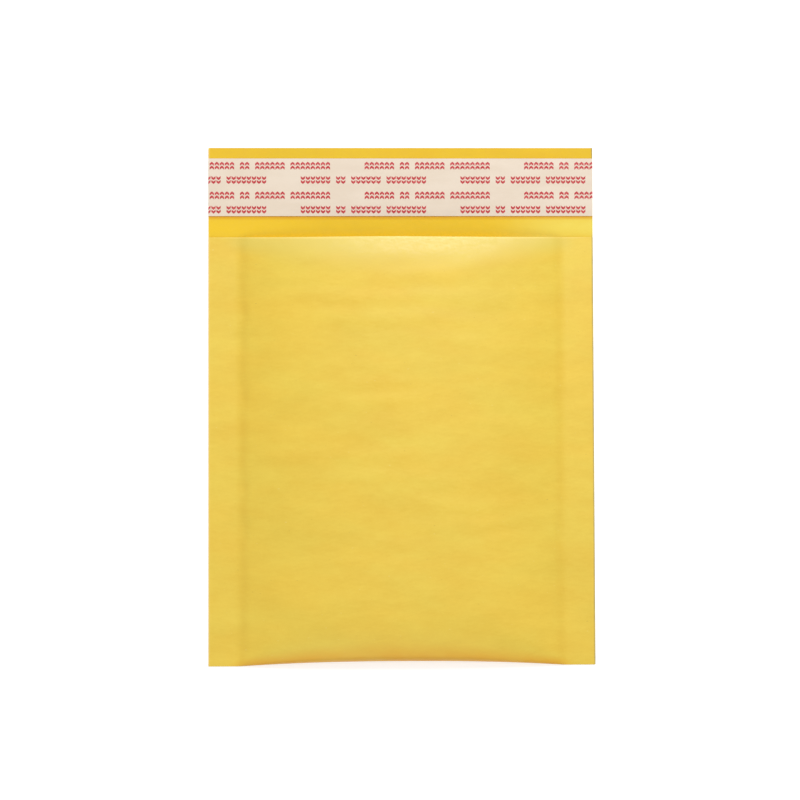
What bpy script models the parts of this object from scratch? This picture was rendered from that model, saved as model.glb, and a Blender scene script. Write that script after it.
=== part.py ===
"""A padded mailer of kraft paper, lying on its back with its flap laid open.

Frame: metres, +Z up. The back panel rests on Z = 0, the width runs along X,
and the flap points to +Y. The origin is under the middle of the whole outline.

The paper is one sheet: flap and back panel, a soft fold at the bottom, and the
front panel, joined at both sides by a flat seal. Inside it lies one folded
sheet of bubble film, with its bubbles towards the pocket. On the flap lie the
adhesive strip and the release liner that covers it.
"""

import math

import bmesh
import bpy

# The paper
BODY_WIDTH = 0.180  # across, seals included
BODY_LENGTH = 0.200  # from the bottom fold to the mouth, along the sheet
FLAP_LENGTH = 0.042  # from the mouth to the flap's end
PAPER = 0.0002  # thickness
SEAL_WIDTH = 0.012  # side band where both panels are joined
SEAL_INSET = 0.0002  # from the seal's filling to the paper's edges all round

# The bubble film
FILM = 0.0002  # flat film
BUBBLE_HEIGHT = 0.0025  # over the film
LINING_EDGE_GAP = 0.005  # from the seal to the film's side edge
LINING_MOUTH_MARGIN = 0.005  # from the mouth to the film's end
EDGE_TAPER = 0.022  # over which the bubbles shrink towards the sides
FOLD_CLEAR = 0.009  # flat film on both sides of the fold
FOLD_TAPER = 0.010  # over which the bubbles grow beyond it
CLEARANCE = 0.0003  # between paper and film, and between sealed layers

# How the empty mailer stands open
POCKET_GAP = 0.006  # between the bubbles of both panels, in the middle
FOLD_RADIUS = 0.0047  # of the bottom fold, in the middle
NOSE_SLOPE = math.radians(20)  # where the fold turns into the front panel
MOUTH_DIP = 0.0025  # by which the front panel comes down at the mouth
MOUTH_DIP_LENGTH = 0.018  # in the middle
DIP_NARROWING = 0.5  # share of that length lost towards the seals
CROWN_POWER = 2.5  # how square the bulge is across the body
FOLD_POWER = 2.4  # and across the fold
SEAL_FOOT = 0.004  # over which the paper bends up beside the seal
EDGE_STEP = 0.0003  # by which it rises over the edge of the film
STEP_WIDTH = 0.008  # from the seal to the top of that rise

# The closure on the flap
LINER_WIDTH = 0.027  # along the flap
LINER_EDGE_MARGIN = 0.005  # from the flap's end to the liner
LINER = 0.0001  # thickness
ADHESIVE_WIDTH = 0.020
ADHESIVE_END_GAP = 0.003  # from the sides of the flap
ADHESIVE = 0.0002  # thickness
LAYER_GAP = 0.0001  # between the layers on the flap

# Facets
COLUMNS = 12  # from the middle to the seal
QUARTER_STEPS = 4  # around the back half of the fold
NOSE_STEPS = 3  # around its front half
RISE_STEPS = 4  # up to the level of the front panel
DIP_STEPS = 3
LEAST_COLUMN = 0.0015  # between two lines along the sheet

HALF = BODY_WIDTH / 2 - SEAL_WIDTH  # from the middle to the seal
SEALED = 2 * PAPER + CLEARANCE
CROWN = 2 * (PAPER + CLEARANCE + FILM + BUBBLE_HEIGHT) + POCKET_GAP
CORNER_TIP = (math.pi / 2 - 1) * SEALED / 2  # by which the fold shortens the seals
OUTLINE_MIDDLE = (FLAP_LENGTH + CORNER_TIP) / 2  # from the body's middle


def from_seal(u):
    return max(HALF - abs(u), 0.0)


def across(u):
    """0 in the middle of the pocket and 1 from the seal outwards, with a soft foot."""
    foot = min(from_seal(u), SEAL_FOOT)
    inside = foot * foot / (2 * SEAL_FOOT) + from_seal(u) - foot
    return 1 - inside / (HALF - SEAL_FOOT / 2)


def crown(u):
    """Height of the closed mailer, paper to paper, over its flat back."""
    share = min(from_seal(u) / STEP_WIDTH, 1.0)
    step = EDGE_STEP * share * share * (3 - 2 * share)
    bulge = CROWN - SEALED - EDGE_STEP
    return SEALED + step + bulge * (1 - across(u) ** CROWN_POWER)


def radius(u):
    """Outer radius of the bottom fold."""
    return SEALED / 2 + (FOLD_RADIUS - SEALED / 2) * (1 - across(u) ** FOLD_POWER)


def quarter(u):
    return radius(u) * math.pi / 2


def nose(u):
    return radius(u) * (math.pi / 2 - NOSE_SLOPE)


def rise_radius(u):
    r = radius(u)
    return (crown(u) - r * (1 + math.cos(NOSE_SLOPE))) / (1 - math.cos(NOSE_SLOPE))


def rise(u):
    return rise_radius(u) * NOSE_SLOPE


def dip_length(u):
    """The dip starts later towards the sides, so its edge is an arc."""
    return MOUTH_DIP_LENGTH * (1 - DIP_NARROWING * across(u) ** 2)


def fold(u, s, d):
    """Where a point of the flat sheet lies once it is folded.

    u runs across, s along the sheet from the fold's outermost line, below
    zero towards the flap, and d inwards from the paper's outer face.
    """
    r, foot = radius(u), -BODY_LENGTH / 2
    middle = foot + quarter(u)
    if s <= -quarter(u):
        y, z = foot - s, d
    elif s <= nose(u):
        turn = s / r
        y, z = middle - (r - d) * math.cos(turn), r + (r - d) * math.sin(turn)
    else:
        big = rise_radius(u)
        turn = min((s - nose(u)) / big, NOSE_SLOPE)
        slope = NOSE_SLOPE - turn
        top_y = middle + (big - r) * math.sin(NOSE_SLOPE)
        y = top_y - (big - d) * math.sin(slope)
        z = crown(u) - big + (big - d) * math.cos(slope)
        beyond = max(s - nose(u) - rise(u), 0.0)
        length, dip = dip_length(u), MOUTH_DIP * (1 - across(u) ** 2)
        into = max(s - BODY_LENGTH + length, 0.0) / length
        steep = 2 * dip / length * into
        y += beyond - steep * steep * into * length / 6 - steep * d
        z -= dip * into * into
    return u, y - OUTLINE_MIDDLE, z


def lining_depth(u, s):
    """Thickness of film and bubbles together."""
    side = (HALF - LINING_EDGE_GAP - abs(u)) / EDGE_TAPER
    away = (abs(s) - FOLD_CLEAR) / FOLD_TAPER
    return FILM + BUBBLE_HEIGHT * max(min(side, away, 1.0), 0.0)


def level(value):
    return lambda u: value


def around(length, part):
    return lambda u: part * length(u)


def up_rise(part):
    return lambda u: nose(u) + part * rise(u)


def fold_rows():
    """The sheet's lines around the bottom fold."""
    back = [around(quarter, -k / QUARTER_STEPS) for k in range(QUARTER_STEPS, 0, -1)]
    front = [around(nose, k / NOSE_STEPS) for k in range(NOSE_STEPS + 1)]
    return back + front


def into_dip(end, part):
    return lambda u: (BODY_LENGTH - dip_length(u)) * (1 - part) + end * part


def dip_rows(end):
    """Lines from where the dip starts to the sheet's end."""
    return [into_dip(end, k / DIP_STEPS) for k in range(DIP_STEPS + 1)]


def columns(outer):
    """Lines along the sheet, closer together towards the seals, then the outer ones."""
    inner = [HALF * math.sin(math.pi / 2 * k / COLUMNS) for k in range(1, COLUMNS + 1)]
    right = [u for u in inner if u < outer[0] - LEAST_COLUMN] + outer
    return [-u for u in reversed(right)] + [0.0] + right


def pattern(lines, rows):
    """A flat grid whose vertices carry (u, s) as x and y."""
    bm = bmesh.new()
    bmesh.ops.create_grid(
        bm, x_segments=len(lines) - 1, y_segments=len(rows) - 1, size=1
    )
    for v in bm.verts:
        i = round((v.co.x + 1) / 2 * (len(lines) - 1))
        j = round((v.co.y + 1) / 2 * (len(rows) - 1))
        u = lines[i]
        v.co = (u, rows[j](u), 0.0)
    return bm


def material(name, colour, roughness, alpha=1.0):
    made = bpy.data.materials.new(name)
    made.use_nodes = True
    shader = made.node_tree.nodes["Principled BSDF"]
    shader.inputs["Base Color"].default_value = (*colour, 1.0)
    shader.inputs["Roughness"].default_value = roughness
    shader.inputs["Metallic"].default_value = 0.0
    shader.inputs["Alpha"].default_value = alpha
    made.diffuse_color = (*colour, alpha)
    return made


def add(name, bm, collection, surface, parent=None):
    mesh = bpy.data.meshes.new(name)
    bm.to_mesh(mesh)
    bm.free()
    made = bpy.data.objects.new(name, mesh)
    made.parent = parent
    collection.objects.link(made)
    if surface:
        mesh.materials.append(surface)
    return made


def box(name, size, centre, collection, surface, parent=None):
    bm = bmesh.new()
    bmesh.ops.create_cube(bm, size=1)
    bmesh.ops.scale(bm, vec=size, verts=bm.verts)
    made = add(name, bm, collection, surface, parent)
    made.location = centre
    return made


def envelope(collection, cutters, surface, parent):
    """The folded paper, with both side seals."""
    lines = columns([HALF, BODY_WIDTH / 2])
    rows = [level(-BODY_LENGTH - FLAP_LENGTH), level(-BODY_LENGTH)]
    rows += [level(-BODY_LENGTH / 2)]
    rows += fold_rows()
    rows += [up_rise(k / RISE_STEPS) for k in range(1, RISE_STEPS + 1)]
    rows += dip_rows(BODY_LENGTH)
    bm = pattern(lines, rows)
    for v in bm.verts:
        v.co = fold(v.co.x, v.co.y, 0.0)
    for face in bm.faces:
        face.smooth = True
    made = add("kraft_envelope", bm, collection, surface, parent)
    thick = made.modifiers.new("Paper", "SOLIDIFY")
    thick.thickness = PAPER
    thick.offset = -1
    thick.use_even_offset = True

    inner, outer = HALF + SEAL_INSET, BODY_WIDTH / 2 - SEAL_INSET
    bottom, top = CORNER_TIP + SEALED - BODY_LENGTH / 2, BODY_LENGTH / 2 - SEAL_INSET
    for side, word in ((-1, "left"), (1, "right")):
        bar = box(
            "seal_" + word,
            (outer - inner, top - bottom, SEALED - PAPER),
            (side * (inner + outer) / 2, (top + bottom) / 2 - OUTLINE_MIDDLE, SEALED / 2),
            cutters,
            None,
            parent,
        )
        bar.hide_render = True
        bar.display_type = "WIRE"
        join = made.modifiers.new("Seal " + word, "BOOLEAN")
        join.operation = "UNION"
        join.object = bar
    return made


def lining(collection, surface, parent):
    """The folded bubble film, as one slab from the film to the bubbles' tops."""
    edge = HALF - LINING_EDGE_GAP
    end = BODY_LENGTH - LINING_MOUTH_MARGIN
    lines = columns([edge - EDGE_TAPER, edge - EDGE_TAPER / 2, edge])
    beyond = [FOLD_CLEAR, FOLD_CLEAR + FOLD_TAPER / 2, FOLD_CLEAR + FOLD_TAPER]
    rows = [level(-end), level(-end / 2)]
    rows += [level(-s) for s in reversed(beyond)]
    rows += fold_rows()
    rows += [level(s) for s in beyond]
    rows += [level(beyond[-1] + FOLD_TAPER), level(end / 2)]
    rows += dip_rows(end)
    bm = pattern(lines, rows)
    grown = bmesh.ops.extrude_face_region(bm, geom=bm.faces[:])
    inner = {v for v in grown["geom"] if isinstance(v, bmesh.types.BMVert)}
    near = PAPER + CLEARANCE
    for v in bm.verts:
        u, s = v.co.x, v.co.y
        v.co = fold(u, s, near + (lining_depth(u, s) if v in inner else 0.0))
    for face in bm.faces:
        face.smooth = True
    bmesh.ops.recalc_face_normals(bm, faces=bm.faces)
    return add("bubble_lining", bm, collection, surface, parent)


def closure(collection, glue, paper, parent):
    """Adhesive strip and release liner, flat on the flap."""
    flap_end = BODY_LENGTH / 2 + FLAP_LENGTH - OUTLINE_MIDDLE
    middle = flap_end - LINER_EDGE_MARGIN - LINER_WIDTH / 2
    low = PAPER + LAYER_GAP
    box(
        "adhesive_strip",
        (BODY_WIDTH - 2 * ADHESIVE_END_GAP, ADHESIVE_WIDTH, ADHESIVE),
        (0.0, middle, low + ADHESIVE / 2),
        collection,
        glue,
        parent,
    )
    low += ADHESIVE + LAYER_GAP
    box(
        "release_liner",
        (BODY_WIDTH, LINER_WIDTH, LINER),
        (0.0, middle, low + LINER / 2),
        collection,
        paper,
        parent,
    )


def main():
    for old in list(bpy.data.objects):
        bpy.data.objects.remove(old, do_unlink=True)
    scene = bpy.context.scene
    parts = bpy.data.collections.new("bubble_mailer")
    cutters = bpy.data.collections.new("bubble_mailer_seals")
    for collection in (parts, cutters):
        scene.collection.children.link(collection)
    root = bpy.data.objects.new("bubble_mailer", None)
    parts.objects.link(root)

    kraft = material("kraft paper", (0.855, 0.604, 0.089), 0.65)
    film = material("bubble film", (0.80, 0.83, 0.84), 0.20, 0.45)
    glue = material("hot melt", (0.80, 0.74, 0.52), 0.30)
    silicone = material("release paper", (0.83, 0.77, 0.66), 0.45)

    envelope(parts, cutters, kraft, root)
    lining(parts, film, root)
    closure(parts, glue, silicone, root)


main()
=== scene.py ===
# %% [markdown]
# A padded mailer of golden kraft paper lies on its back, with the flap laid
# open above it. The construction is loaded first: a fixed frame in metres,
# with X across the mailer, Y towards the flap and Z up. Every piece made here
# takes its place from that frame.

import math

import bpy
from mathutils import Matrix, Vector, noise


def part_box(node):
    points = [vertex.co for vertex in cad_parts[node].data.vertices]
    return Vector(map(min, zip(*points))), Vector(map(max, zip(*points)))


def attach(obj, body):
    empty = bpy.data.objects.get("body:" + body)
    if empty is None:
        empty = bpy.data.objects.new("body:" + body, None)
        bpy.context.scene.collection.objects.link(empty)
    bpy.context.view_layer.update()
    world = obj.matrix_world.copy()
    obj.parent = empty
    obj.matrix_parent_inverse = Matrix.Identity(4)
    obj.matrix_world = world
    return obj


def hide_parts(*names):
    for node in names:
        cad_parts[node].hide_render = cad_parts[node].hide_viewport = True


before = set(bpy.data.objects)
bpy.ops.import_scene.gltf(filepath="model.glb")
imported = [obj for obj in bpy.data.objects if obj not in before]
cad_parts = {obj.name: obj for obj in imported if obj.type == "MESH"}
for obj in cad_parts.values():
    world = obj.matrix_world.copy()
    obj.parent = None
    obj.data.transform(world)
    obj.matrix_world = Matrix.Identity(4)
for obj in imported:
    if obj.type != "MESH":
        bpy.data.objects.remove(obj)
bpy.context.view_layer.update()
print("nodes:", sorted(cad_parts))

# %% [markdown]
# The camera comes before any surface, so that each piece can be judged from
# the photograph's view at once. The mailer was shot from straight above with a
# long lens: its sides run parallel. A 100 mm lens about a metre up does that.
# The picture is a little wider than the mailer is long, so the view's width is
# written in metres and the height follows from it. The mailer looks a little
# wider at its lower edge and longer at its left one, so the lens leaned two
# degrees one way and half of that the other.

# %% Camera
VIEW_WIDTH = 0.3734  # across the picture, at the paper
VIEW_CENTRE = Vector((-0.0007, 0.0027, 0.0007))  # on the side seals' level
LENS, SENSOR = 100.0, 36.0
LEAN = math.radians(2.1)  # off the vertical, towards the lower edge
SIDE_LEAN = math.radians(-1.4)  # and towards the left one
ROLL = math.radians(-0.19)

camera_data = bpy.data.cameras.new("camera")
camera_data.lens = LENS
camera_data.sensor_width = SENSOR
camera = bpy.data.objects.new("camera", camera_data)
camera.rotation_euler = (LEAN, SIDE_LEAN, ROLL)
sight = camera.rotation_euler.to_matrix() @ Vector((0, 0, VIEW_WIDTH * LENS / SENSOR))
camera.location = VIEW_CENTRE + sight
bpy.context.scene.collection.objects.link(camera)
bpy.context.scene.camera = camera
print("camera height:", round(camera.location.z, 3))

# %% [markdown]
# The photograph has a plain white ground. The floor here is white card: it
# takes the mailer's shadow, and for the camera it glows a little, so that the
# lit part of it turns white without more light on the mailer. Mirror and glass
# rays see the same glow.

# %% Floor
FLOOR_SIZE = 6.0
FLOOR_DROP = 0.0002  # below the paper, so that the two faces don't meet
FLOOR_COLOUR = (0.86, 0.86, 0.86, 1.0)
FLOOR_GLOW = 0.46


def new_material(name):
    """A material with an empty node tree and its output."""
    made = bpy.data.materials.new(name)
    made.use_nodes = True
    tree = made.node_tree
    tree.nodes.clear()
    return made, tree, tree.nodes.new("ShaderNodeOutputMaterial")


def add_node(tree, kind, **values):
    """A shader node with some of its settings and sockets set by name."""
    made = tree.nodes.new("ShaderNode" + kind)
    for name, value in values.items():
        label = name.replace("_", " ")
        if hasattr(made, name):
            setattr(made, name, value)
        else:
            made.inputs[label].default_value = value
    return made


def card_floor():
    made, tree, out = new_material("white card")
    card = add_node(tree, "BsdfDiffuse", Color=FLOOR_COLOUR)
    glow = add_node(tree, "Emission", Color=(1, 1, 1, 1))
    path = add_node(tree, "LightPath")
    both = add_node(tree, "AddShader")
    link = tree.links.new
    seen = path.outputs["Is Camera Ray"]
    for ray in ("Is Glossy Ray", "Is Transmission Ray"):
        either = add_node(tree, "Math", operation="MAXIMUM")
        link(seen, either.inputs[0])
        link(path.outputs[ray], either.inputs[1])
        seen = either.outputs[0]
    level = add_node(tree, "Math", operation="MULTIPLY")
    level.inputs[1].default_value = FLOOR_GLOW
    link(seen, level.inputs[0])
    link(level.outputs[0], glow.inputs["Strength"])
    link(card.outputs[0], both.inputs[0])
    link(glow.outputs[0], both.inputs[1])
    link(both.outputs[0], out.inputs["Surface"])
    return made


bpy.ops.object.select_all(action="DESELECT")
bpy.ops.mesh.primitive_plane_add(size=FLOOR_SIZE, location=(0, 0, -FLOOR_DROP))
floor = bpy.context.object
floor.name = "floor"
floor.data.materials.append(card_floor())
print("floor:", FLOOR_SIZE, "m")

# %% [markdown]
# Paper needs soft light with one clear direction, or its folds disappear. The
# bright rim of the mouth and the dark bottom fold show where it came from: the
# flap's side, a little to the right, about 40 degrees off the vertical. One
# broad lamp stands there, a weak one opposite keeps the bottom fold from going
# grey, and an even sky fills the rest. The camera sees that sky as white.

# %% Lights
SKY_LEVEL = 0.58
KEY_PLACE, KEY_SIZE, KEY_POWER = Vector((0.145, 0.74, 0.975)), 0.50, 8.95
FILL_PLACE, FILL_SIZE, FILL_POWER = Vector((-0.10, -0.95, 0.80)), 0.80, 1.3

world = bpy.data.worlds.new("studio")
world.use_nodes = True
sky_tree = world.node_tree
sky = sky_tree.nodes["Background"]
sky.inputs["Color"].default_value = (1, 1, 1, 1)
sky_seen = add_node(sky_tree, "LightPath")
sky_level = add_node(sky_tree, "MapRange")
sky_level.inputs["To Min"].default_value = SKY_LEVEL
sky_level.inputs["To Max"].default_value = 1.0
sky_tree.links.new(sky_seen.outputs["Is Camera Ray"], sky_level.inputs["Value"])
sky_tree.links.new(sky_level.outputs["Result"], sky.inputs["Strength"])
bpy.context.scene.world = world
bpy.context.scene.view_settings.view_transform = "Standard"


def square_lamp(name, place, size, power):
    data = bpy.data.lights.new(name, "AREA")
    data.shape = "SQUARE"
    data.size = size
    data.energy = power
    made = bpy.data.objects.new(name, data)
    made.location = place
    made.rotation_euler = (-place).to_track_quat("-Z", "Y").to_euler()
    bpy.context.scene.collection.objects.link(made)
    print(name, "lamp at", tuple(round(c, 2) for c in place))


square_lamp("key", KEY_PLACE, KEY_SIZE, KEY_POWER)
square_lamp("fill", FILL_PLACE, FILL_SIZE, FILL_POWER)

# %% [markdown]
# A mailer is designed flat, so the shapes below are too. Each sheet is drawn
# as a flat pattern, with u across it and s along it from the bottom fold, and
# one function folds the pattern. The sizes are those of the construction.

# %% Sizes of the mailer
BODY_WIDTH = 0.180
BODY_LENGTH = 0.200
FLAP_LENGTH = 0.042
PAPER = 0.0002
SEAL_WIDTH = 0.012
SEAL_INSET = 0.0002
FILM = 0.0002
BUBBLE_HEIGHT = 0.0025
LINING_EDGE_GAP = 0.005
LINING_MOUTH_MARGIN = 0.005
EDGE_TAPER = 0.022
FOLD_CLEAR = 0.009
FOLD_TAPER = 0.010
CLEARANCE = 0.0003
POCKET_GAP = 0.006
FOLD_RADIUS = 0.0047
NOSE_SLOPE = math.radians(20)
MOUTH_DIP = 0.0025
MOUTH_DIP_LENGTH = 0.018
DIP_NARROWING = 0.5
CROWN_POWER = 2.5
FOLD_POWER = 2.4
SEAL_FOOT = 0.004
EDGE_STEP, STEP_WIDTH = 0.0003, 0.008

HALF = BODY_WIDTH / 2 - SEAL_WIDTH
SEALED = 2 * PAPER + CLEARANCE
CROWN = 2 * (PAPER + CLEARANCE + FILM + BUBBLE_HEIGHT) + POCKET_GAP
CORNER_TIP = (math.pi / 2 - 1) * SEALED / 2
OUTLINE_MIDDLE = (FLAP_LENGTH + CORNER_TIP) / 2
print("crown:", round(CROWN * 1000, 1), "mm")

# %% The fold


def from_seal(u):
    return max(HALF - abs(u), 0.0)


def across(u):
    """0 in the middle of the pocket and 1 from the seal outwards, with a soft foot."""
    foot = min(from_seal(u), SEAL_FOOT)
    inside = foot * foot / (2 * SEAL_FOOT) + from_seal(u) - foot
    return 1 - inside / (HALF - SEAL_FOOT / 2)


def crown(u):
    share = min(from_seal(u) / STEP_WIDTH, 1.0)
    step = EDGE_STEP * share * share * (3 - 2 * share)
    return SEALED + step + (CROWN - SEALED - EDGE_STEP) * (1 - across(u) ** CROWN_POWER)


def radius(u):
    return SEALED / 2 + (FOLD_RADIUS - SEALED / 2) * (1 - across(u) ** FOLD_POWER)


def quarter(u):
    return radius(u) * math.pi / 2


def nose(u):
    return radius(u) * (math.pi / 2 - NOSE_SLOPE)


def rise_radius(u):
    r = radius(u)
    return (crown(u) - r * (1 + math.cos(NOSE_SLOPE))) / (1 - math.cos(NOSE_SLOPE))


def dip_length(u):
    """The dip starts later towards the sides, so its edge is an arc."""
    return MOUTH_DIP_LENGTH * (1 - DIP_NARROWING * across(u) ** 2)


def fold(u, s, d):
    """Where a point of the flat sheet lies once it is folded, d inside the paper."""
    r, foot = radius(u), -BODY_LENGTH / 2
    middle = foot + quarter(u)
    if s <= -quarter(u):
        y, z = foot - s, d
    elif s <= nose(u):
        turn = s / r
        y, z = middle - (r - d) * math.cos(turn), r + (r - d) * math.sin(turn)
    else:
        big = rise_radius(u)
        slope = NOSE_SLOPE - min((s - nose(u)) / big, NOSE_SLOPE)
        y = middle + (big - r) * math.sin(NOSE_SLOPE) - (big - d) * math.sin(slope)
        z = crown(u) - big + (big - d) * math.cos(slope)
        beyond = max(s - nose(u) - big * NOSE_SLOPE, 0.0)
        length, dip = dip_length(u), MOUTH_DIP * (1 - across(u) ** 2)
        into = max(s - BODY_LENGTH + length, 0.0) / length
        steep = 2 * dip / length * into
        y += beyond - steep * steep * into * length / 6 - steep * d
        z -= dip * into * into
    return Vector((u, y - OUTLINE_MIDDLE, z))


print("mouth edge at", tuple(round(c, 4) for c in fold(0, BODY_LENGTH, 0)))

# %% [markdown]
# Real paper is never that even. It hangs a little between the rows of bubbles
# under it, so soft waves a row apart run across the mailer, here stronger and
# there weaker, over broader and fainter swells. Beside the pressed side seals
# it stays low for a few millimetres and puckers every few rows, and between
# its middle and the seals the mouth's lip hangs lower. Most of this is less
# than a millimetre deep, so it is added as a depth in the pattern, before
# folding. Blender's own noise repeats exactly on every run.

# %% Relief of the paper
BUBBLE_PITCH = 0.012
ROW_PITCH = BUBBLE_PITCH * math.sqrt(3) / 2  # between rows of bubbles
ROW_DEPTH = 0.00006
SWELL_DEPTH = 0.00032
SWELL_LENGTH, SWELL_BREADTH = 0.026, 0.055
PILLOW_DEPTH = 0.00002
PUCKER_DEPTH = 0.00046
PUCKER_PLACE, PUCKER_REACH = 0.962, 0.026  # as shares of the way to the seal
RIPPLE_DEPTH = 0.00004
RIPPLE_LENGTH = 0.0045
SEAL_DIP, SEAL_DIP_WIDTH = 0.00011, 0.0068  # beside the seal, before the bulge rises
LIP_DEPTH = 0.0022  # by which the mouth dips more between its middle and the seals
FADE_FROM_FOLD = 0.02
FLAP_LIFT, FLAP_WAVE = 0.0003, 0.0006
FLAP_RISE = 0.055  # over which the flap leaves the floor


def smooth(x):
    """0 to 1 with soft ends."""
    x = min(max(x, 0.0), 1.0)
    return x * x * (3 - 2 * x)


LINER_LOW, LINER_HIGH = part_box("release_liner")


def soft_noise(u, s, breadth, length, seed):
    return noise.noise(Vector((u / breadth, s / length, seed)))


def pillows(u, s):
    """1 over the middle of a bubble and below zero between bubbles."""
    total = 0.0
    for k in range(3):
        turn = k * math.pi / 3 + math.pi / 6
        along = u * math.sin(turn) + s * math.cos(turn)
        total += math.cos(2 * math.pi * along / ROW_PITCH)
    return total / 3


def row_waves(u, s):
    """Waves a row apart, which wander and fade in and out across the mailer."""
    wander = 0.8 * ROW_PITCH * soft_noise(u, s, 0.055, 0.035, 3.1)
    strength = smooth(0.45 + 1.5 * soft_noise(u, s, 0.034, 0.020, 7.7))
    return strength * math.cos(2 * math.pi * (s + wander) / ROW_PITCH)


def puckers(u, s):
    """Short dimples beside the seal, some deep and some missing."""
    side = 1.0 if u > 0 else -1.0
    strength = smooth(0.35 + 1.6 * noise.noise(Vector((side * 3.7, s / 0.021, 1.9))))
    wander = 0.003 * noise.noise(Vector((side * 5.1, s / 0.030, 6.3)))
    return strength * (0.5 + 0.5 * math.cos(2 * math.pi * (s + wander) / (2 * ROW_PITCH)))


def front_relief(u, s):
    """Depth by which the front panel's paper lies inside its smooth form."""
    q = across(u)
    inner = smooth((1 - q) * 6) * smooth((s - 0.008) / FADE_FROM_FOLD)
    depth = inner * SWELL_DEPTH * soft_noise(u, s, SWELL_BREADTH, SWELL_LENGTH, 11.3)
    depth += inner * (ROW_DEPTH * row_waves(u, s) - PILLOW_DEPTH * pillows(u, s))
    past_fold = smooth(s / FADE_FROM_FOLD)
    near = math.exp(-(((q - PUCKER_PLACE) / PUCKER_REACH) ** 2)) * past_fold
    depth += near * PUCKER_DEPTH * puckers(u, s)
    beside = min(from_seal(u) / SEAL_DIP_WIDTH, 1.0)
    depth += SEAL_DIP * math.sin(math.pi * beside) ** 2 * past_fold
    if q >= 1:
        depth += RIPPLE_DEPTH * soft_noise(u, s, 0.02, RIPPLE_LENGTH, 5.3)
    into = max(s - BODY_LENGTH + dip_length(u), 0.0) / dip_length(u)
    return depth + LIP_DEPTH * q * q * (1 - q * q) * into * into


def flap_lift(u, y):
    """Height by which the open flap stands off the floor."""
    reach = smooth((y - LINER_LOW[1] + 0.010) / FLAP_RISE)
    wave = 0.5 + 0.5 * soft_noise(u, y, 0.07, 0.05, 4.4)
    return reach * (FLAP_LIFT + FLAP_WAVE * wave)


def paper_place(u, s):
    """The paper's outer face, folded and with its relief."""
    return under_paper(u, s, 0.0)


def under_paper(u, s, d):
    """A point inside the paper's outer face by d, following its relief."""
    if s > 0:
        return fold(u, s, front_relief(u, s) + d)
    place = fold(u, s, d)
    place.z += flap_lift(u, place.y)
    return place


print("relief mid-panel:", round(front_relief(0.01, 0.1) * 1e6), "micrometres")

# %% [markdown]
# The sheet starts as a grid. Its lines lie close together where the paper
# bends fast, at the bottom fold, along the seals and at the mouth, and wide
# apart on the flat back, so that the triangles are spent where they show. Each
# vertex also keeps its place in the flat pattern as an attribute, so that the
# paper's grain and its bands of painted shade and light can follow the sheet
# round every bend.

# %% Grid for a sheet


def stations(*stretches):
    """Values from the first start on, each stretch as (start, end, step)."""
    found = [stretches[0][0]]
    for start, end, step in stretches:
        count = max(round((end - start) / step), 1)
        found += [start + (end - start) * (k + 1) / count for k in range(count)]
    return found


def mirrored(right):
    """The same values on both sides of zero."""
    return [-x for x in reversed(right) if x > 0] + right


def sheet_grid(name, columns, rows, place):
    """A grid primitive whose vertices are moved to place(column, row)."""
    bpy.ops.object.select_all(action="DESELECT")
    bpy.ops.mesh.primitive_grid_add(
        x_subdivisions=len(columns) - 1, y_subdivisions=len(rows) - 1, size=2
    )
    made = bpy.context.object
    made.name = made.data.name = name
    pattern = made.data.attributes.new("pattern", "FLOAT_VECTOR", "POINT")
    for v in made.data.vertices:
        i = round((v.co.x + 1) / 2 * (len(columns) - 1))
        j = round((v.co.y + 1) / 2 * (len(rows) - 1))
        pattern.data[v.index].vector = (columns[i], rows[j], 0)
        v.co = place(columns[i], rows[j])
    bpy.ops.object.shade_smooth()
    print(name, len(made.data.polygons), "faces")
    return made


SHARP = math.radians(60)  # a cut edge, where the shading isn't smooth


def make_active(made):
    bpy.ops.object.select_all(action="DESELECT")
    made.select_set(True)
    bpy.context.view_layer.objects.active = made


def apply_solidify(made, thickness, offset, rim=0, inside=0):
    """Gives a sheet its thickness, its inner and cut faces their materials, and crisp edges."""
    make_active(made)
    wall = made.modifiers.new("thickness", "SOLIDIFY")
    wall.thickness = thickness
    wall.offset = offset
    wall.use_even_offset = True
    wall.material_offset = inside
    wall.material_offset_rim = rim
    bpy.ops.object.modifier_apply(modifier=wall.name)
    bpy.ops.object.mode_set(mode="EDIT")
    bpy.ops.mesh.select_mode(type="EDGE")
    bpy.ops.mesh.select_all(action="DESELECT")
    bpy.ops.mesh.edges_select_sharp(sharpness=SHARP)
    bpy.ops.mesh.mark_sharp()
    bpy.ops.object.mode_set(mode="OBJECT")


# %% [markdown]
# Golden kraft paper is pulp dyed through, so nothing is printed on it. Seen
# close, it has fibres that lie mostly across the sheet, cloudy patches where
# the pulp was thicker, a hue that drifts a little, and a few dark and pale
# specks. Noises at those scales make a shader group that every paper here
# shares, each with its own sizes and strengths.

# %% Group for paper fibres


def group_with(name, inputs, outputs):
    """A shader node group with float or vector inputs and float outputs."""
    made = bpy.data.node_groups.new(name, "ShaderNodeTree")
    for label, kind, value in inputs:
        socket = made.interface.new_socket(label, in_out="INPUT", socket_type=kind)
        if value is not None:
            socket.default_value = value
    for label in outputs:
        made.interface.new_socket(label, in_out="OUTPUT", socket_type="NodeSocketFloat")
    return made, made.nodes.new("NodeGroupInput"), made.nodes.new("NodeGroupOutput")


def stretched(tree, source, scale):
    """The vector multiplied by a fixed scale, to draw a pattern out."""
    made = add_node(tree, "VectorMath", operation="MULTIPLY")
    made.inputs[1].default_value = scale
    tree.links.new(source, made.inputs[0])
    return made.outputs[0]


def noise_of(tree, vector, scale, detail=2.0, roughness=0.5):
    made = add_node(tree, "TexNoise", Detail=detail, Roughness=roughness)
    tree.links.new(vector, made.inputs["Vector"])
    if isinstance(scale, (int, float)):
        made.inputs["Scale"].default_value = scale
    else:
        tree.links.new(scale, made.inputs["Scale"])
    return made.outputs["Fac"]


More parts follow.
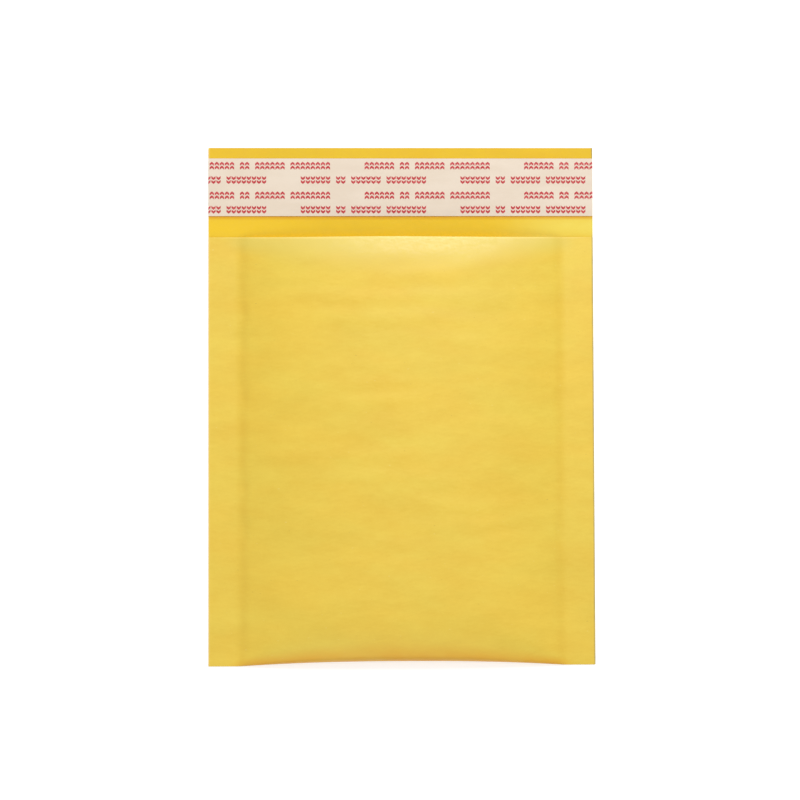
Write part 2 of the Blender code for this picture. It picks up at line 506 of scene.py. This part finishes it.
def ranged(tree, source, low, high, to_low=0.0, to_high=1.0):
    made = add_node(tree, "MapRange", interpolation_type="SMOOTHSTEP")
    made.inputs["From Min"].default_value = low
    made.inputs["From Max"].default_value = high
    made.inputs["To Min"].default_value = to_low
    made.inputs["To Max"].default_value = to_high
    tree.links.new(source, made.inputs["Value"])
    return made.outputs["Result"]


def maths(tree, operation, first, second):
    made = add_node(tree, "Math", operation=operation)
    for socket, value in zip(made.inputs, (first, second)):
        if isinstance(value, (int, float)):
            socket.default_value = value
        else:
            tree.links.new(value, socket)
    return made.outputs[0]


def turned(tree, source, degrees):
    """The vector turned about Z, so that a pattern runs aslant."""
    made = add_node(tree, "VectorRotate", rotation_type="Z_AXIS", Angle=math.radians(degrees))
    tree.links.new(source, made.inputs["Vector"])
    return made.outputs[0]


def paper_group():
    inputs = (
        ("Vector", "NodeSocketVector", None),
        ("Fibre Scale", "NodeSocketFloat", 900.0),
        ("Cloud Scale", "NodeSocketFloat", 90.0),
    )
    names = ("Cloud", "Tint", "Fibre", "Dark Specks", "Pale Specks", "Height")
    tree, given, gives = group_with("paper fibres", inputs, names)
    vector = given.outputs["Vector"]
    size = given.outputs["Fibre Scale"]
    cloud_size = given.outputs["Cloud Scale"]
    cloud = noise_of(tree, stretched(tree, vector, (0.40, 1.0, 1.0)), cloud_size, 5.0, 0.62)
    aslant = stretched(tree, turned(tree, vector, 6), (0.45, 1.0, 1.0))
    tint = noise_of(tree, aslant, maths(tree, "MULTIPLY", cloud_size, 0.6), 3.0, 0.55)
    fibre = 0.0
    for degrees, draw, share in ((9, 0.16, 0.40), (-17, 0.22, 0.35), (68, 0.30, 0.25)):
        drawn = stretched(tree, turned(tree, vector, degrees), (draw, 1.0, 1.0))
        part = maths(tree, "MULTIPLY", noise_of(tree, drawn, size, 5.0, 0.65), share)
        fibre = maths(tree, "ADD", part, fibre)
    speck = noise_of(tree, stretched(tree, vector, (0.45, 1.0, 1.0)), 1300.0, 1.0, 0.4)
    link = tree.links.new
    link(cloud, gives.inputs["Cloud"])
    link(tint, gives.inputs["Tint"])
    link(ranged(tree, fibre, 0.32, 0.68), gives.inputs["Fibre"])
    link(ranged(tree, speck, 0.76, 0.83), gives.inputs["Dark Specks"])
    link(ranged(tree, speck, 0.24, 0.17), gives.inputs["Pale Specks"])
    link(maths(tree, "ADD", fibre, maths(tree, "MULTIPLY", cloud, 0.5)), gives.inputs["Height"])
    return tree


fibres = paper_group()
print("group:", fibres.name)

# %% [markdown]
# Along some lines the paper's colour changes: a painted shade beside the seals,
# a pale worn edge at its left side and a painted shadow at its right, and bands
# of painted shade, sheen and light across it, with a deeper orange line under
# the liner. The second group gives a soft line at a chosen distance to both
# sides of the middle, and the third one across the sheet, at a chosen place
# along it. Both are broken up a little, so that they don't look ruled.

# %% Groups for lines of painted shade and light, and for worn edges


def broken(tree, vector, mask, amount):
    """The mask with soft gaps in it."""
    rough = noise_of(tree, stretched(tree, vector, (0.5, 1.0, 1.0)), 130.0, 3.0, 0.6)
    lost = maths(tree, "MULTIPLY", ranged(tree, rough, 0.35, 0.65), amount)
    return maths(tree, "MULTIPLY", mask, maths(tree, "SUBTRACT", 1.0, lost))


def near_value(tree, value, place, width):
    """1 where the value is at the place, and 0 a width away from it."""
    off = maths(tree, "ABSOLUTE", maths(tree, "SUBTRACT", value, place), 0.0)
    return ranged(tree, maths(tree, "DIVIDE", off, width), 1.0, 0.0)


END_THINNING = 0.8  # share of its width that a band loses towards its reach


def line_mask_group(name, place_label, aside):
    inputs = (
        ("Vector", "NodeSocketVector", None),
        (place_label, "NodeSocketFloat", 0.0),
        ("Width", "NodeSocketFloat", 0.002),
        ("Reach", "NodeSocketFloat", 1.0),
        ("Break Up", "NodeSocketFloat", 0.5),
    )
    tree, given, gives = group_with(name, inputs, ("Mask",))
    parts = add_node(tree, "SeparateXYZ")
    tree.links.new(given.outputs["Vector"], parts.inputs[0])
    side = maths(tree, "ABSOLUTE", parts.outputs["X"], 0.0)
    value = side if aside else parts.outputs["Y"]
    share = maths(tree, "DIVIDE", side, given.outputs["Reach"])
    thinner = maths(tree, "MULTIPLY", maths(tree, "POWER", share, 2.0), END_THINNING)
    width = maths(tree, "MULTIPLY", given.outputs["Width"], maths(tree, "SUBTRACT", 1.0, thinner))
    mask = near_value(tree, value, given.outputs[place_label], width)
    inward = ranged(tree, share, 1.0, 0.85)
    mask = maths(tree, "MULTIPLY", mask, inward)
    mask = broken(tree, given.outputs["Vector"], mask, given.outputs["Break Up"])
    tree.links.new(mask, gives.inputs["Mask"])
    return tree


line_along = line_mask_group("line along the sheet", "Distance", True)
band_across = line_mask_group("band across the sheet", "Place", False)
print("groups:", line_along.name, "and", band_across.name)

# %% [markdown]
# Two faces of the same paper show. The outside is calendered, so it is
# smoother and catches the lamp in a soft whitish sheen. The inside, which the
# open flap shows, is rougher and deeper in colour. One function builds both.
# Its bands follow the flat pattern: a deeper orange where the sheet is bent at
# the bottom, which is painted shade, and a deeper orange under the liner's edge;
# a paler lip with a bright edge at the mouth, painted sheen and highlight; a
# clearer yellow on the flap's bare strip, painted light that makes up for the
# pocket's shade, which pales towards its right end; and a saturated orange just
# above the mouth, painted bounce light. A soft painted shade runs beside the
# seals, and the side edges are worn pale at the left and carry a thin painted
# shadow at the right.

# %% Kraft paper
KRAFT_OUTSIDE = ((0.750, 0.507, 0.040, 1), (0.833, 0.605, 0.065, 1))
KRAFT_INSIDE = ((0.715, 0.445, 0.012, 1), (0.790, 0.515, 0.018, 1))
ORANGE_DRIFT = (1.02, 0.98, 0.90, 1)  # by which the colour is multiplied
GREEN_DRIFT = (0.99, 1.01, 1.04, 1)
SPECK_DARK = (0.42, 0.25, 0.04, 1)
SPECK_PALE = (0.97, 0.86, 0.42, 1)
# Painted shade beside the seals, where the paper slopes down to them.
SEAL_SHADE_TINT = (0.72, 0.40, 0.020, 1)
SEAL_SHADE_INSIDE = 0.0038  # from the seal to the middle of the painted shade
SEAL_SHADE_WIDTH, SEAL_SHADE_STRENGTH = 0.0040, 0.16
EDGE_WIDTH, EDGE_STRENGTH = 0.0010, 0.8
EDGE_WORN, EDGE_SHADOW = (0.86, 0.62, 0.20, 1), (0.27, 0.23, 0.12, 1)  # worn at the left, and a painted shadow at the right
# Painted shade on the bottom fold, which turns away from the lamp.
FOLD_SHADE_TINT = (0.79, 0.365, 0.001, 1)
# Painted sheen where the lip dips towards the lamp.
LIP_SHEEN_TINT = (0.710, 0.560, 0.095, 1)
# A painted highlight along the mouth's edge.
LIP_HIGHLIGHT_TINT = (0.96, 0.74, 0.17, 1)
LINER_LINE_TINT = (0.66, 0.28, 0.002, 1)
# Painted light on the flap's bare strip, which makes up for the pocket's shade.
STRIP_LIGHT_TINT = (0.85, 0.550, 0.014, 1)
# Painted bounce light: the saturated orange just above the mouth.
MOUTH_BOUNCE_TINT = (0.95, 0.575, 0.001, 1)
PALE_END = (0.83, 0.655, 0.095, 1)
PALE_FROM, PALE_TO = 0.038, 0.078  # from the middle, towards the right


def flap_place(y):
    """Where on the flat pattern's back half a point of the flap lies."""
    return -BODY_LENGTH / 2 - OUTLINE_MIDDLE - y


STRIP_MIDDLE = (flap_place(LINER_LOW[1]) - BODY_LENGTH) / 2
LINER_LINE = flap_place(LINER_LOW[1] - 0.0004)
OUTSIDE_BANDS = (  # tint, tint at the right end, place, width, reach, break-up, strength
    (FOLD_SHADE_TINT, None, 0.0, 0.0140, HALF + 0.004, 0.25, 1.0),
    (LIP_SHEEN_TINT, None, BODY_LENGTH - 0.002, 0.020, HALF + 0.006, 0.1, 0.7),
    (LIP_HIGHLIGHT_TINT, None, BODY_LENGTH, 0.0018, HALF + 0.016, 0.3, 0.6),
)
INSIDE_BANDS = (
    (STRIP_LIGHT_TINT, PALE_END, STRIP_MIDDLE, 0.010, 2 * BODY_WIDTH, 0.2, 1.0),
    (MOUTH_BOUNCE_TINT, PALE_END, -BODY_LENGTH, 0.0045, HALF, 0.2, 1.0),
    (LINER_LINE_TINT, None, LINER_LINE, 0.0018, 2 * BODY_WIDTH, 0.3, 0.75),
)


def use_group(tree, group, vector, **values):
    made = tree.nodes.new("ShaderNodeGroup")
    made.node_tree = group
    tree.links.new(vector, made.inputs["Vector"])
    for name, value in values.items():
        made.inputs[name.replace("_", " ")].default_value = value
    return made


def mixed(tree, first, second, factor):
    """Two colours mixed by a mask, each a colour or a socket."""
    made = add_node(tree, "Mix", data_type="RGBA")
    for socket, value in ((made.inputs[6], first), (made.inputs[7], second)):
        if isinstance(value, tuple):
            socket.default_value = value
        else:
            tree.links.new(value, socket)
    tree.links.new(factor, made.inputs[0])
    return made.outputs[2]


def multiplied(tree, first, second):
    made = add_node(tree, "Mix", data_type="RGBA", blend_type="MULTIPLY")
    made.inputs[0].default_value = 1.0
    tree.links.new(first, made.inputs[6])
    tree.links.new(second, made.inputs[7])
    return made.outputs[2]


def bumped(tree, shader, height, distance, strength):
    made = add_node(tree, "Bump", Strength=strength, Distance=distance)
    tree.links.new(height, made.inputs["Height"])
    tree.links.new(made.outputs["Normal"], shader.inputs["Normal"])


def kraft_paper(name, colours, roughness, relief, gloss, bands):
    made, tree, out = new_material(name)
    place = add_node(tree, "Attribute", attribute_name="pattern").outputs["Vector"]
    paper = use_group(tree, fibres, place, Fibre_Scale=900.0, Cloud_Scale=75.0)
    tone = maths(
        tree,
        "ADD",
        maths(tree, "MULTIPLY", ranged(tree, paper.outputs["Cloud"], 0.25, 0.75), 0.6),
        maths(tree, "MULTIPLY", paper.outputs["Fibre"], 0.4),
    )
    colour = mixed(tree, *colours, tone)
    drift = mixed(tree, ORANGE_DRIFT, GREEN_DRIFT, ranged(tree, paper.outputs["Tint"], 0.3, 0.7))
    colour = multiplied(tree, colour, drift)
    dark = maths(tree, "MULTIPLY", paper.outputs["Dark Specks"], 0.35)
    pale = maths(tree, "MULTIPLY", paper.outputs["Pale Specks"], 0.25)
    colour = mixed(tree, colour, SPECK_DARK, dark)
    colour = mixed(tree, colour, SPECK_PALE, pale)
    # A painted shade beside the seals.
    seal_shade = use_group(
        tree,
        line_along,
        place,
        Distance=HALF - SEAL_SHADE_INSIDE,
        Width=SEAL_SHADE_WIDTH,
        Break_Up=0.6,
    )
    # The side edges: worn pale at the left, a thin painted shadow at the right.
    edge_wear_and_shadow = use_group(
        tree, line_along, place, Distance=BODY_WIDTH / 2, Width=EDGE_WIDTH, Break_Up=0.35
    )
    shade = maths(tree, "MULTIPLY", seal_shade.outputs[0], SEAL_SHADE_STRENGTH)
    colour = mixed(tree, colour, SEAL_SHADE_TINT, shade)
    side = add_node(tree, "SeparateXYZ")
    tree.links.new(place, side.inputs[0])
    edge = mixed(tree, EDGE_WORN, EDGE_SHADOW, ranged(tree, side.outputs["X"], -0.01, 0.01))
    colour = mixed(tree, colour, edge, maths(tree, "MULTIPLY", edge_wear_and_shadow.outputs[0], EDGE_STRENGTH))
    for tint, right_tint, where, width, reach, gaps, strength in bands:
        band = use_group(
            tree, band_across, place, Place=where, Width=width, Reach=reach, Break_Up=gaps
        )
        if right_tint:
            share = ranged(tree, side.outputs["X"], PALE_FROM, PALE_TO)
            tint = mixed(tree, tint, right_tint, share)
        colour = mixed(tree, colour, tint, maths(tree, "MULTIPLY", band.outputs[0], strength))
    shader = add_node(tree, "BsdfPrincipled", Metallic=0.0, Specular_IOR_Level=gloss)
    rough = ranged(tree, paper.outputs["Fibre"], 0.0, 1.0, roughness - 0.05, roughness + 0.07)
    tree.links.new(rough, shader.inputs["Roughness"])
    tree.links.new(colour, shader.inputs["Base Color"])
    bumped(tree, shader, paper.outputs["Height"], relief, 0.35)
    tree.links.new(shader.outputs[0], out.inputs["Surface"])
    return made


kraft_outside = kraft_paper(
    "kraft paper, outer face", KRAFT_OUTSIDE, 0.45, 0.00006, 0.66, OUTSIDE_BANDS
)
kraft_inside = kraft_paper(
    "kraft paper, inner face", KRAFT_INSIDE, 0.68, 0.00009, 0.40, INSIDE_BANDS
)
print("papers:", kraft_outside.name, "and", kraft_inside.name)

# %% [markdown]
# The envelope itself is one sheet: flap, back panel, bottom fold and front
# panel in one strip. The grid is moved onto its folded place and given the
# paper's thickness inwards. Solidify also hands the second material to the
# inner face, which is why it is a modifier and not a second grid.

# %% The envelope
FLAP_STEP, BACK_STEP, FOLD_STEP = 0.0020, 0.0036, 0.0006  # between the grid's rows
PANEL_STEP, MOUTH_STEP = 0.0015, 0.0008
FOLD_ZONE, MOUTH_ZONE = 0.010, 0.018


def envelope_sheet():
    columns = mirrored(
        stations(
            (0.0, 0.062, 0.0016),
            (0.062, HALF + 0.001, 0.0009),
            (HALF + 0.001, BODY_WIDTH / 2, 0.0014),
        )
    )
    rows = stations(
        (-BODY_LENGTH - FLAP_LENGTH, -BODY_LENGTH, FLAP_STEP),
        (-BODY_LENGTH, -FOLD_ZONE, BACK_STEP),
        (-FOLD_ZONE, FOLD_ZONE, FOLD_STEP),
        (FOLD_ZONE, BODY_LENGTH - MOUTH_ZONE, PANEL_STEP),
        (BODY_LENGTH - MOUTH_ZONE, BODY_LENGTH, MOUTH_STEP),
    )
    made = sheet_grid("kraft_sheet", columns, rows, paper_place)
    made.data.materials.append(kraft_outside)
    made.data.materials.append(kraft_inside)
    apply_solidify(made, PAPER, -1, rim=1, inside=1)
    return made


kraft_sheet = envelope_sheet()
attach(kraft_sheet, "root")
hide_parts("kraft_envelope")

# %% [markdown]
# In the side seals the bubble film's edges are melted between the two panels.
# From the side they show as a thin milky line between two edges of paper. A
# narrow strip on each side, thickened to the gap, is enough for that.

# %% Film material
FILM_COLOUR = (0.93, 0.95, 0.95, 1)
FILM_ALPHA, PRESSED_ALPHA = 0.07, 0.75
WALL_ALPHA = 0.13  # more on a bubble's side wall, which is seen edge on
HAZE = 0.03


def clear_film(name, colour, alpha, roughness):
    """Clear film that is denser where its mesh's attribute "wall" is high."""
    made, tree, out = new_material(name)
    place = add_node(tree, "TexCoord").outputs["Object"]
    shader = add_node(
        tree, "BsdfPrincipled", Base_Color=colour, Metallic=0.0, Specular_IOR_Level=1.0
    )
    haze = noise_of(tree, place, 220.0, 3.0, 0.6)
    wall = add_node(tree, "Attribute", attribute_name="wall").outputs["Fac"]
    link = tree.links.new
    dense = maths(tree, "MULTIPLY", wall, WALL_ALPHA)
    dense = maths(tree, "ADD", dense, ranged(tree, haze, 0.3, 0.7, alpha - HAZE, alpha + HAZE))
    link(dense, shader.inputs["Alpha"])
    link(ranged(tree, haze, 0.3, 0.7, roughness, roughness + 0.10), shader.inputs["Roughness"])
    bumped(tree, shader, haze, 0.0001, 0.25)
    link(shader.outputs[0], out.inputs["Surface"])
    return made


bubble_film_finish = clear_film("bubble film", FILM_COLOUR, FILM_ALPHA, 0.12)
pressed_film_finish = clear_film("pressed film", FILM_COLOUR, PRESSED_ALPHA, 0.30)
print("films:", bubble_film_finish.name, "and", pressed_film_finish.name)

# %% The sealed edges of the film


def seal_film(name, side):
    columns = stations((HALF + SEAL_INSET, BODY_WIDTH / 2 - 2 * SEAL_INSET, 0.0028))
    rows = stations((-BODY_LENGTH + 2 * SEAL_INSET, -SEALED, 0.004))
    made = sheet_grid(
        name, columns, rows, lambda u, s: fold(side * u, s, PAPER + CLEARANCE)
    )
    if side < 0:
        made.data.flip_normals()
    made.data.materials.append(pressed_film_finish)
    apply_solidify(made, CLEARANCE, 1)
    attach(made, "root")
    return made


for side, word in ((-1, "left"), (1, "right")):
    print(seal_film("seal_film_" + word, side).name)

# %% [markdown]
# Bubble film is two films welded together: a flat one, and one with a bubble
# drawn into it at each point of a honeycomb. One cell is modelled: the upper
# half of a ball, squared a little towards a pillbox, with a flat brim that
# reaches out to a hexagon. Arrays repeat it, and the brims weld into one film.
# Solidify then gives it a second skin, which is laid flat for the other film,
# so the air in the bubbles is closed in and light passes only two skins.

# %% One bubble
BUBBLE_RADIUS = 0.0049
BUBBLE_SIDES, BUBBLE_RINGS = 12, 8
SHOULDER = 0.62  # below 1 the bubble's top is flatter
WELD = 0.00001


def brim_reach(turn):
    """From a cell's middle to its hexagon, in the direction given."""
    sixth = math.pi / 3
    return BUBBLE_PITCH / 2 / math.cos((turn + sixth / 2) % sixth - sixth / 2)


def bubble_cell():
    bpy.ops.object.select_all(action="DESELECT")
    bpy.ops.mesh.primitive_uv_sphere_add(
        segments=BUBBLE_SIDES, ring_count=BUBBLE_RINGS, radius=BUBBLE_RADIUS
    )
    made = bpy.context.object
    made.name = "bubble_film"
    bpy.ops.object.mode_set(mode="EDIT")
    bpy.ops.mesh.select_mode(type="VERT")
    bpy.ops.mesh.select_all(action="DESELECT")
    bpy.ops.object.mode_set(mode="OBJECT")
    for v in made.data.vertices:
        v.select = v.co.z < -WELD
    bpy.ops.object.mode_set(mode="EDIT")
    bpy.ops.mesh.delete(type="VERT")
    bpy.ops.mesh.select_non_manifold()
    bpy.ops.mesh.extrude_edges_move()
    bpy.ops.object.mode_set(mode="OBJECT")
    for v in made.data.vertices:
        if v.select:
            turn = math.atan2(v.co.y, v.co.x)
            v.co = brim_reach(turn) * Vector((math.cos(turn), math.sin(turn), 0.0))
        else:
            v.co.z = BUBBLE_HEIGHT * max(v.co.z / BUBBLE_RADIUS, 0.0) ** SHOULDER
    return made


def repeat(made, count, step):
    make_active(made)
    row = made.modifiers.new("row", "ARRAY")
    row.count = count
    row.use_relative_offset = False
    row.use_constant_offset = True
    row.constant_offset_displace = step
    bpy.ops.object.modifier_apply(modifier=row.name)


def honeycomb(width, length):
    """Cells over at least the width and length given, centred."""
    made = bubble_cell()
    across_count = math.ceil(width / BUBBLE_PITCH) + 2
    along_count = math.ceil(length / ROW_PITCH / 2) + 1
    repeat(made, across_count, (BUBBLE_PITCH, 0, 0))
    bpy.ops.object.duplicate()
    second = bpy.context.object
    second.location = (BUBBLE_PITCH / 2, ROW_PITCH, 0)
    bpy.ops.object.transform_apply()
    made.select_set(True)
    bpy.context.view_layer.objects.active = made
    bpy.ops.object.join()
    repeat(made, along_count, (0, 2 * ROW_PITCH, 0))
    xs = [v.co.x for v in made.data.vertices]
    ys = [v.co.y for v in made.data.vertices]
    middle = Vector(((min(xs) + max(xs)) / 2, (min(ys) + max(ys)) / 2, 0))
    for v in made.data.vertices:
        v.co -= middle
    bpy.ops.object.mode_set(mode="EDIT")
    bpy.ops.mesh.select_all(action="SELECT")
    bpy.ops.mesh.remove_doubles(threshold=WELD)
    for way in (-1, 1):
        for normal, reach in (((way, 0, 0), width), ((0, way, 0), length)):
            bpy.ops.mesh.select_all(action="SELECT")
            edge = tuple(c * reach / 2 for c in normal)
            bpy.ops.mesh.bisect(plane_co=edge, plane_no=normal, clear_outer=True)
    bpy.ops.object.mode_set(mode="OBJECT")
    return made


# %% The bubble film in its place
LINING_EDGE = HALF - LINING_EDGE_GAP
LINING_END = BODY_LENGTH - LINING_MOUTH_MARGIN
END_TAPER = 0.004


def bubble_share(u, s):
    """How much of its height a bubble keeps: less at the sides, the fold and the end."""
    side = (LINING_EDGE - abs(u)) / EDGE_TAPER
    away = (abs(s) - FOLD_CLEAR) / FOLD_TAPER
    end = (LINING_END - abs(s)) / END_TAPER
    return max(min(side, away, end, 1.0), 0.0)


def bubble_lining():
    made = honeycomb(2 * LINING_EDGE, 2 * LINING_END)
    made.data.attributes.new("wall", "FLOAT", "POINT")
    pattern = [tuple(v.co) for v in made.data.vertices]
    made.data.materials.append(bubble_film_finish)
    bpy.ops.object.shade_smooth()
    apply_solidify(made, FILM, -1)
    wall = made.data.attributes["wall"].data
    domed = len(pattern)
    for v in made.data.vertices:
        u, s, high = pattern[v.index % domed]
        if v.index < domed:
            share = high / BUBBLE_HEIGHT
            wall[v.index].value = 4 * share * (1 - share)
            v.co = under_paper(u, s, PAPER + CLEARANCE + FILM + high * bubble_share(u, s))
        else:
            v.co = under_paper(u, s, PAPER + CLEARANCE)
    return made


lining = bubble_lining()
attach(lining, "root")
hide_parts("bubble_lining")
print("bubble film:", len(lining.data.polygons), "faces")

# %% [markdown]
# On the flap lies a band of hot-melt adhesive, poured on in one pass, so its
# edges wander a little. The liner that covers it is thin paper with a
# silicone coat. It waves a little over the adhesive, and beyond the band's
# edges, where there is nothing below it, it comes down a little.

# %% Adhesive
GLUE_COLOUR = (0.78, 0.60, 0.20, 1)
GLUE_PALE = (0.86, 0.72, 0.34, 1)
GLUE_WANDER = 0.0006
GLUE_LOW, GLUE_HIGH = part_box("adhesive_strip")
GLUE_THICK = GLUE_HIGH[2] - GLUE_LOW[2]
GLUE_SEAT = 0.00001  # over the paper


def on_flap(u, y, height):
    """A point over the flap's inner face, at the height given."""
    return Vector((u, y, PAPER + flap_lift(u, y) + height))


def hot_melt():
    made, tree, out = new_material("hot melt")
    place = add_node(tree, "TexCoord").outputs["Object"]
    shader = add_node(tree, "BsdfPrincipled", Metallic=0.0, Roughness=0.25)
    streaks = noise_of(tree, stretched(tree, place, (0.15, 1.0, 1.0)), 700.0, 3.0, 0.5)
    colour = mixed(tree, GLUE_COLOUR, GLUE_PALE, ranged(tree, streaks, 0.3, 0.7))
    tree.links.new(colour, shader.inputs["Base Color"])
    bumped(tree, shader, streaks, 0.0001, 0.4)
    tree.links.new(shader.outputs[0], out.inputs["Surface"])
    return made


def adhesive_band():
    middle = (GLUE_LOW[1] + GLUE_HIGH[1]) / 2
    half = (GLUE_HIGH[1] - GLUE_LOW[1]) / 2

    def place(u, t):
        wander = GLUE_WANDER * soft_noise(u, t, 0.02, 0.05, 2.2)
        return on_flap(u, middle + t + wander * abs(t) / half, GLUE_SEAT)

    columns = stations((GLUE_LOW[0], GLUE_HIGH[0], 0.002))
    made = sheet_grid("adhesive_band", columns, stations((-half, half, 0.0012)), place)
    made.data.materials.append(hot_melt())
    apply_solidify(made, GLUE_THICK, 1)
    return made


band = adhesive_band()
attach(band, "root")
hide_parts("adhesive_strip")

# %% Release liner
LINER_THICK = 0.0001
LINER_WAVE = 0.00012
LINER_EDGE_LIFT = 0.00005
LINER_GAP = 0.00002  # to what it lies on
LINER_SAG, LINER_FALL = 0.0035, 0.35  # it comes down by a third beyond the adhesive
LINER_PALE = (0.77, 0.655, 0.53, 1)
LINER_CLOUD = (0.72, 0.60, 0.47, 1)


def liner_place(u, t, over=0.0):
    """A point on the liner, t below its upper edge and over its face."""
    from_middle = abs(t - (LINER_HIGH[1] - LINER_LOW[1]) / 2)
    half_glue = (GLUE_HIGH[1] - GLUE_LOW[1]) / 2
    past_glue = smooth((from_middle - half_glue) / LINER_SAG)
    seat = GLUE_SEAT + GLUE_THICK * (1 - LINER_FALL * past_glue) + LINER_GAP + LINER_THICK
    lift = past_glue * LINER_EDGE_LIFT * (0.5 + 0.5 * noise.noise(Vector((u / 0.04, 0, 8.8))))
    wave = (1 - past_glue) * LINER_WAVE * (0.5 + 0.5 * soft_noise(u, t, 0.018, 0.030, 6.6))
    return on_flap(u, LINER_HIGH[1] - t, seat + lift + wave + over)


def release_paper():
    made, tree, out = new_material("release paper")
    place = add_node(tree, "TexCoord").outputs["Object"]
    paper = use_group(tree, fibres, place, Fibre_Scale=1600.0, Cloud_Scale=120.0)
    shader = add_node(tree, "BsdfPrincipled", Metallic=0.0)
    link = tree.links.new
    tone = maths(tree, "MULTIPLY", ranged(tree, paper.outputs["Cloud"], 0.3, 0.7), 0.8)
    link(mixed(tree, LINER_PALE, LINER_CLOUD, tone), shader.inputs["Base Color"])
    link(ranged(tree, paper.outputs["Fibre"], 0.0, 1.0, 0.34, 0.46), shader.inputs["Roughness"])
    bumped(tree, shader, paper.outputs["Height"], 0.00003, 0.3)
    link(shader.outputs[0], out.inputs["Surface"])
    return made


def release_liner():
    columns = stations((LINER_LOW[0], LINER_HIGH[0], 0.0015))
    rows = stations((LINER_HIGH[1] - LINER_LOW[1], 0.0, -0.0012))
    made = sheet_grid("printed_liner", columns, rows, liner_place)
    made.data.materials.append(release_paper())
    apply_solidify(made, LINER_THICK, -1)
    return made


liner = release_liner()
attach(liner, "root")
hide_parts("release_liner")

# %% [markdown]
# The liner is printed in red with rows of small marks, in groups with a gap
# after each run. The marks here are plain double arrowheads that point the way
# the strip is pulled, upwards in two rows and downwards in the other two. Ink
# has no thickness to speak of, so each mark is a flat arrowhead, cut from a
# grid of two squares, that lies just over the paper.

# %% Printed marks
INK_OVER = 0.00002
MARK_PITCH, MARK_WIDTH = 0.00236, 0.0020
MARK_STROKE, MARK_RISE, MARK_GAP = 0.00115, 0.00080, 0.0018
MARK_GROUPS = (6, 2, 6, 8)
RUN_PERIOD = 0.0748
ROWS = ((0.0034, -0.0171, 1), (0.0101, -0.0470, -1), (0.0173, -0.0171, 1), (0.0240, -0.0470, -1))
INK_RED = (0.47, 0.020, 0.028, 1)
INK_THIN = (0.58, 0.075, 0.075, 1)


def arrowhead(u, t, way):
    """One bent bar in the flat pattern of the liner, pointing up or down."""
    bpy.ops.object.select_all(action="DESELECT")
    bpy.ops.mesh.primitive_grid_add(x_subdivisions=2, y_subdivisions=1, size=1)
    made = bpy.context.object
    for v in made.data.vertices:
        x = min(max(u + v.co.x * MARK_WIDTH, LINER_LOW[0]), LINER_HIGH[0])
        rise = MARK_RISE * (0.5 - 2 * abs(x - u) / MARK_WIDTH)
        v.co = (x, t + way * (v.co.y * MARK_STROKE + rise), 0)
    return made


def run_of_marks(start, t, way):
    """The marks of one run, from its start on."""
    made, slot = [], 0
    for count in MARK_GROUPS:
        for k in range(count):
            u = start + (slot + 0.5) * MARK_PITCH
            if LINER_LOW[0] < u < LINER_HIGH[0]:
                made += [arrowhead(u, t + half * MARK_GAP / 2, way) for half in (-1, 1)]
            slot += 1
        slot += 1
    return made


def printed_marks():
    marks = []
    for t, start, way in ROWS:
        for k in (-1, 0, 1):
            marks += run_of_marks(start + k * RUN_PERIOD, -t, way)
    bpy.ops.object.select_all(action="DESELECT")
    for mark in marks:
        mark.select_set(True)
    bpy.context.view_layer.objects.active = marks[0]
    bpy.ops.object.join()
    made = bpy.context.object
    made.name = made.data.name = "liner_print"
    for v in made.data.vertices:
        v.co = liner_place(v.co.x, -v.co.y, INK_OVER)
    return made


def red_ink():
    made, tree, out = new_material("red ink")
    place = add_node(tree, "TexCoord").outputs["Object"]
    shader = add_node(tree, "BsdfPrincipled", Metallic=0.0, Roughness=0.4)
    patchy = ranged(tree, noise_of(tree, place, 900.0, 3.0, 0.6), 0.35, 0.70)
    tree.links.new(mixed(tree, INK_RED, INK_THIN, patchy), shader.inputs["Base Color"])
    tree.links.new(shader.outputs[0], out.inputs["Surface"])
    return made


marks = printed_marks()
marks.data.materials.append(red_ink())
apply_solidify(marks, INK_OVER / 2, 0)
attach(marks, "root")
print("marks:", len(marks.data.polygons), "faces")
